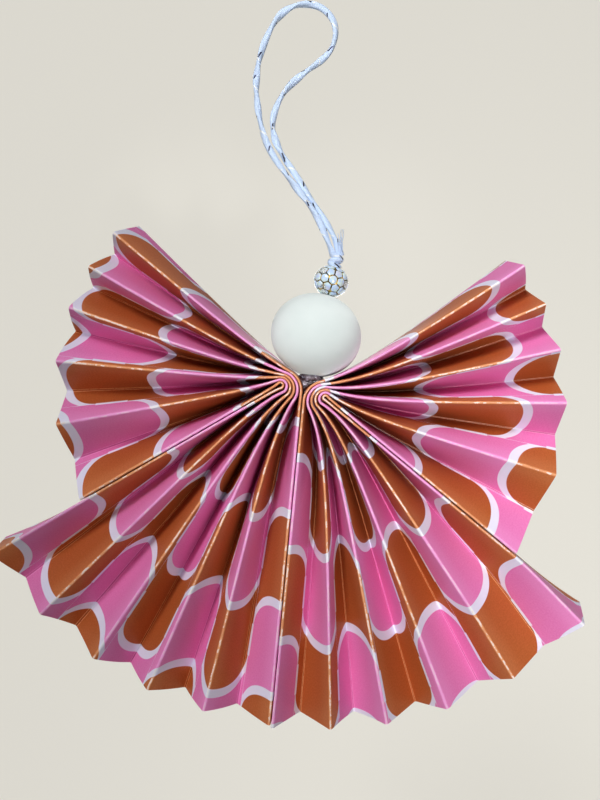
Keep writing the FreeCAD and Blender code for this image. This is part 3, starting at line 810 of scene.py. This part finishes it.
def cordFibre():
    # soft flat braid: two crossing families of ridges, and a dark metallic thread that comes to
    # the surface for a short way at every step, with short pale dashes painted on as its glints
    look = cordLook
    paint = Paint("pale blue cord", Sheen_Weight=0.25)
    turn, along = paint.uv()
    rising = turn * look["braidTurns"] + along * look["braidPitch"]
    falling = turn * -look["braidTurns"] + along * look["braidPitch"]
    braid = (rising * (2 * np.pi)).sin() * (falling * (2 * np.pi)).sin()
    fuzz = paint.noise(paint.join(turn * 8.0, along * 1.5), 1.0, 3.0, 0.6)
    colour = paint.mix((braid * 0.5 + 0.5) * 0.5 + fuzz * 0.3, look["colour"], look["shade"])
    wander = paint.noise(paint.join(0.0, along * 0.11), 1.0, 1.0)
    shift = along / look["fleckStep"] + wander * look["fleckWander"]

    def dash(turned, stepped, long):
        # twice round the cord and once at each step
        around = abs(turned.fract() - 0.5).step(*look["fleckWide"])
        return around * abs(stepped.fract() - 0.5).step(*long)

    dark = dash(turn * 2.0 + along * look["fleckSlant"] + wander, shift, look["fleckLong"])
    # painted highlight: short pale dashes as glints on the metallic thread
    glintDash = dash(turn * 2.0 - along * look["glintSlant"] + 0.37,
                shift * look["glintStep"] + 0.4, look["glintLong"])
    colour = paint.mix(dark, colour, look["thread"])
    paint.set("Base Color", paint.mix(glintDash, colour, look["glint"]))
    paint.set("Metallic", dark * look["fleckMetal"])
    paint.set("Roughness", look["roughness"] - (dark + glintDash).atMost(1.0) * look["shining"])
    paint.set("Normal", paint.bump(braid * 0.5 + fuzz, 0.5, 0.00015))
    return paint.material


fibre = cordFibre()


def makeCord():
    # a flat ribbon along the route, turned by half a turn at each twist step, a little unevenly
    look = cordLook
    line, along = smoothLine(cordRoute, look["ring"])
    slow = np.sin(along / 9.0) * 0.5 + np.sin(along / 4.1 + 1.3) * 0.3
    twist = along / look["twistStep"] * np.pi + slow * look["twistUneven"]
    wide = look["wide"] * (1 + look["swell"] * np.sin(along / 2.7))
    points, faces, uv = tube(line, wide, look["thick"], twist, beadDepth, look["sides"])
    piece = addPiece("hanging-cord", points, faces, ["loop_cord"], fibre, uv)
    print("cord length", round(float(along[-1]), 1))


knot = {
    "turns": 3, "samples": 241, "across": 1.25, "aside": 0.3, "shadeColour": 1.3,
    "drop": 0.55, "rise": 1.35, "phase": 0.6, "wide": 0.74, "thick": 0.7, "sides": 14,
    "tailAt": 0.6, "hairs": 9, "hairSamples": 24, "hairSides": 6,
    "hairWide": 0.13, "hairThick": 0.1, "start": (0.8, -0.5), "length": (4.2, 3.2),
    "lean": 2.4, "spread": 1.1, "curl": 0.25, "fan": 0.9,
}


def makeKnot():
    # One closed line of three turns round the beads' axis, (across cos 3a, deep sin 3a), that
    # rises and falls once as rise * sin(a + phase). The tail is a few tapering hairs, made
    # unlike by odd multiples of i.
    k = knot
    a = np.linspace(0, 2 * np.pi, k["samples"])
    middle = centreOf("cord_knot")
    line = onBead(middle, k["across"] * np.cos(k["turns"] * a) - k["aside"],
                  k["shadeColour"] * np.sin(k["turns"] * a),
                  -k["drop"] + k["rise"] * np.sin(a + k["phase"]))
    parts = [tube(line, k["wide"], k["thick"], a * 0, beadAxis, k["sides"])]
    top = middle + beadAxis * k["tailAt"]
    t = np.linspace(0, 1, k["hairSamples"])
    for i in range(k["hairs"]):
        sway = np.sin(i * 2.4) * 0.5 + 0.5
        x = k["start"][0] - t * (k["lean"] - k["spread"] * sway) + k["curl"] * np.sin(t * 6 + i)
        y = k["start"][1] + k["fan"] * np.cos(i * 1.7) * t
        z = t * (k["length"][0] + k["length"][1] * np.cos(i * 1.1) ** 2)
        taper = 1 - 0.5 * t
        parts.append(tube(onBead(top, x, y, z), k["hairWide"] * taper, k["hairThick"] * taper,
                          t * 0, beadDepth, k["hairSides"]))
    points, faces, uv = joinParts(parts)
    addPiece("cord-knot", points, faces, ["cord_knot"], fibre, uv)


core = {"below": 10.3, "apart": 0.42, "radius": 0.55, "turn": 5.0, "rings": 60, "sides": 10}


def makeCore():
    # both strands side by side through the beads, turning slowly round each other
    low, high = centreOf("head_bead") - beadAxis * core["below"], centreOf("cord_knot")
    t = np.linspace(0, 1, core["rings"])[:, None]
    parts = []
    for start in (np.pi, 0):
        turn = t * core["turn"] + start
        beside = core["apart"] * (np.cos(turn) * beadSide + np.sin(turn) * beadDepth)
        parts.append(tube(low + (high - low) * t + beside, core["radius"], core["radius"],
                          t[:, 0] * 0, beadDepth, core["sides"]))
    points, faces, uv = joinParts(parts)
    addPiece("cord-through-beads", points, faces, ["cord_core"], fibre, uv)


makeCord()
makeKnot()
makeCore()

glue = {
    "neckDark": tint(70, 60, 68), "neckPale": tint(150, 140, 152),
    "filmDark": tint(60, 50, 55), "filmPale": tint(110, 100, 108), "glueGlint": tint(206, 202, 226),
    "lump": (0.55, 3.0, 0.6), "lumpSeen": (0.42, 0.62), "bump": (0.8, 0.0006),
    "speck": (1.5, 2.0), "speckSeen": (0.57, 0.64), "speckPart": 0.8,
    "clear": 0.05, "bottom": 0.4, "top": 0.2, "neckRows": 40, "neckSides": 48,
    "halfWidth": 3.4, "halfDepth": 4.0, "neckSquare": 0.6,
    "seam": (10.0, 80.0),  # from and to, down the seam
    "fanStart": -0.4, "fanShort": 4,
    "film": 0.075, "swell": 2.6, "front": -5.0, "eyeFront": -1.5, "eyeDeeper": 3.2, "eyeReach": 6,
    "back": 5.4, "filmRows": 80, "filmSides": 12, "filmSquare": 0.5,
}


def hotGlue(name, dark, glintDash):
    paint = Paint(name, Roughness=0.18, Coat_Weight=0.5, Coat_Roughness=0.1)
    at = paint.place()
    lump = paint.noise(at, *glue["lump"])
    # painted highlight: pale specks in the glue's colour stand for glints
    speck = paint.noise(at, *glue["speck"]).step(*glue["speckSeen"])
    colour = paint.mix(lump.step(*glue["lumpSeen"]), dark, glintDash)
    paint.set("Base Color", paint.mix(speck * glue["speckPart"], colour, glue["glueGlint"]))
    paint.set("Normal", paint.bump(lump, *glue["bump"]))
    return paint.material


def makeNeckGlue():
    # The glue fills the notch between the two bends: at each level it reaches from one outer
    # arc to the other, centre +- sqrt(radius^2 - level^2), and its depth is half a rounded box.
    g = glue
    radius = sheetPaper["bendRadius"] - g["clear"]
    left, right = [bendCentre(sheet, sheetPaper["panels"]) for sheet, way in bothSheets]
    low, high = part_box("neck_glue")
    z = np.linspace(low[2] / mm + g["bottom"], high[2] / mm - g["top"], g["neckRows"])
    xLeft = left[0] + np.sqrt(np.maximum(radius ** 2 - (z - left[1]) ** 2, 0.2))
    xRight = right[0] - np.sqrt(np.maximum(radius ** 2 - (z - right[1]) ** 2, 0.2))
    half, mid = (xRight - xLeft) / 2, (xRight + xLeft) / 2
    taper = np.sqrt(np.clip(1 - ((z - z.mean()) / (z[-1] - z[0]) * 2) ** 8, 0.01, 1))
    a = fullTurn(g["neckSides"])
    lump = 1 + 0.1 * np.sin(3 * a + z[:, None] * 1.7) + 0.07 * np.sin(5 * a - z[:, None] * 2.9)
    square = squarer(np.cos(a), g["neckSquare"])
    x = mid[:, None] + np.minimum(half, g["halfWidth"])[:, None] * square * taper[:, None]
    y = g["halfDepth"] * np.sin(a) * taper[:, None] * lump
    points = np.stack([x, y, np.repeat(z[:, None], len(a), 1)], -1).reshape(-1, 3)
    addPiece("neck-glue", points, closedTube(len(z), len(a)), ["neck_glue"],
             hotGlue("neck glue", g["neckDark"], g["neckPale"]))


def makeGlueLine(name, node, start, heading, near, far, eye):
    # A thin ragged film between two panels, from near to far along its heading. Where it starts
    # in a bend's eye it swells to fill the back of the eye, a dark plug of glue that stands in
    # for the eye's shade.
    g = glue
    d = np.array([np.cos(np.radians(heading)), np.sin(np.radians(heading))])
    n = np.array([-d[1], d[0]])
    s = near + (far - near) * np.linspace(0, 1, g["filmRows"])
    # the swell fills the back of the eye, a dark plug that stands in for the eye's shade
    half = g["film"] + eye * np.exp(-(s - near) / g["swell"])
    edge, deeper = (g["eyeFront"], g["eyeDeeper"]) if eye else (g["front"], 0.0)
    front = edge + 0.5 * np.sin(s * 0.9) - deeper * (1 - np.exp(-(s - near) / g["eyeReach"]))
    back = g["back"] + 0.3 * np.sin(s * 1.3)
    a = fullTurn(g["filmSides"])
    across = squarer(np.cos(a), g["filmSquare"])
    shadeColour = squarer(np.sin(a), g["filmSquare"])
    middle = np.array(start) + d * s[:, None]
    flat = middle[:, None] + n * (half[:, None] * across)[..., None]
    y = ((front + back) / 2)[:, None] + ((back - front) / 2)[:, None] * shadeColour
    points = np.stack([flat[..., 0], y, flat[..., 1]], -1).reshape(-1, 3)
    addPiece(name, points, closedTube(len(s), len(a)), [node], filmGlue)


filmGlue = hotGlue("glue lines", glue["filmDark"], glue["filmPale"])
makeNeckGlue()
makeGlueLine("seam-glue", "seam_glue", sheetPaper["seamTop"], -90 - sheetPaper["seamLean"],
             *glue["seam"], 0)
for half, way in bothSheets:
    bearing = half["wing"][0] if half["side"] > 0 else 180 - half["wing"][0]
    makeGlueLine(way + "-fan-glue", way + "_fan_glue", bendCentre(half), bearing,
                 glue["fanStart"], half["wingLength"] - glue["fanShort"], half["eyeRadius"])

viewPoint = {"eye": (9.39, -198.3, -95.39), "lookAt": (-1.83, 0.0, -102.36),  # millimetres
             "lens": 33.66, "sensor": 36.0, "nearest": 0.01}
camera = addObject("camera", bpy.data.cameras.new("camera"))
camera.location = Vector(viewPoint["eye"]) * mm
aim = Vector(viewPoint["lookAt"]) - Vector(viewPoint["eye"])
camera.rotation_euler = aim.to_track_quat("-Z", "Y").to_euler()
camera.data.lens = viewPoint["lens"]
camera.data.sensor_width = viewPoint["sensor"]
camera.data.clip_start = viewPoint["nearest"]
bpy.context.scene.camera = camera

# places and radii in metres, powers in watts, cones in degrees
lamps = {
    "key": {"at": (-0.30, -0.82, 0.58), "aim": (0.125, 0.0, -0.13),
            "radius": 0.2, "power": 52.5, "cone": 30.0},
    "fill": {"at": (0.15, -0.42, -0.22), "aim": (0.10, 0.0, -0.13),
             "radius": 0.12, "power": 4.4, "cone": 46.0},
    "front": {"at": (-0.04, -0.60, 0.02), "aim": (-0.003, 0.0, 0.008),
              "radius": 0.03, "power": 7.0, "cone": 11.0},
    "head": {"at": (0.16, -0.55, -0.24), "aim": centreOf("head_bead") * mm,
             "radius": 0.06, "power": 42.0, "cone": 4.6},
    "back": {"at": (0.0, 0.25, -0.10), "aim": (0.0, 0.0, -0.09),
             "radius": 0.1, "power": 1.5, "cone": 80.0},
}
studio = {
    "world": 0.07, "skyLight": (0.93, 0.96, 1.0), "skySeen": tint(224, 222, 214),
    "wall": tint(232, 229, 220), "wallSeen": tint(216, 213, 204),
    "wallShade": tint(112, 110, 104),
    "wallAt": 0.35, "wallTop": 1.6, "floorAt": -0.5, "floorFront": -2.0, "halfWidth": 2.5,
    "curve": 0.3, "curveSteps": 13,
}


def addLamp(name, at, aim, radius, power, cone):
    # a soft spot lamp: full strength on its axis, fading to the cone's edge
    lamp = bpy.data.lights.new(name, "SPOT")
    lamp.energy, lamp.shadow_soft_size = power, radius
    lamp.spot_size, lamp.spot_blend = np.radians(cone), 1.0
    thing = addObject(name, lamp)
    thing.location = at
    thing.rotation_euler = (Vector(aim) - Vector(at)).to_track_quat("-Z", "Y").to_euler()


def seenDirectly(paint):
    # 1 for what the camera sees, itself or in metal and glass, 0 for the light on the object
    path = paint.node("ShaderNodeLightPath").out.node.outputs
    camera, glossy, clear = [Sock(paint, path["Is " + ray + " Ray"])
                             for ray in ("Camera", "Glossy", "Transmission")]
    return camera.atLeast(glossy).atLeast(clear)


def addBackdrop():
    # wall behind and floor below in one sheet, joined by a quarter circle
    s = studio
    turn = np.linspace(0, np.pi / 2, s["curveSteps"])
    y = np.r_[s["floorFront"], s["wallAt"] - s["curve"] * (1 - np.sin(turn)), s["wallAt"]]
    z = np.r_[s["floorAt"], s["floorAt"] + s["curve"] * (1 - np.cos(turn)), s["wallTop"]]
    ends = (-s["halfWidth"], s["halfWidth"])
    points = np.array([[x, *at] for at in np.stack([y, z], 1) for x in ends])
    paint = Paint("backdrop", Roughness=0.9)
    seen = seenDirectly(paint)
    paint.set("Base Color", paint.mix(seen, s["wall"], s["wallShade"]))
    paint.set("Emission Color", paint.mix(seen, (0.0, 0.0, 0.0), s["wallSeen"]))
    paint.set("Emission Strength", 1.0)
    wall = addMesh("backdrop", points, gridFaces(len(y), 2)[:, ::-1], paint.material)


def addSky():
    # what is seen of the sky has full strength, and its light on the object a low level
    world = bpy.data.worlds.new("world")
    bpy.context.scene.world = world
    world.use_nodes = True
    sky = Sky(world)
    seen = seenDirectly(sky)
    sky.set("Color", sky.mix(seen, studio["skyLight"], studio["skySeen"]))
    sky.set("Strength", seen * (1.0 - studio["world"]) + studio["world"])


for name, lamp in lamps.items():
    addLamp(name, **lamp)
addBackdrop()
addSky()
bpy.context.scene.view_settings.view_transform = "Standard"
print("camera, lamps, backdrop and sky placed")

print("all pieces made")
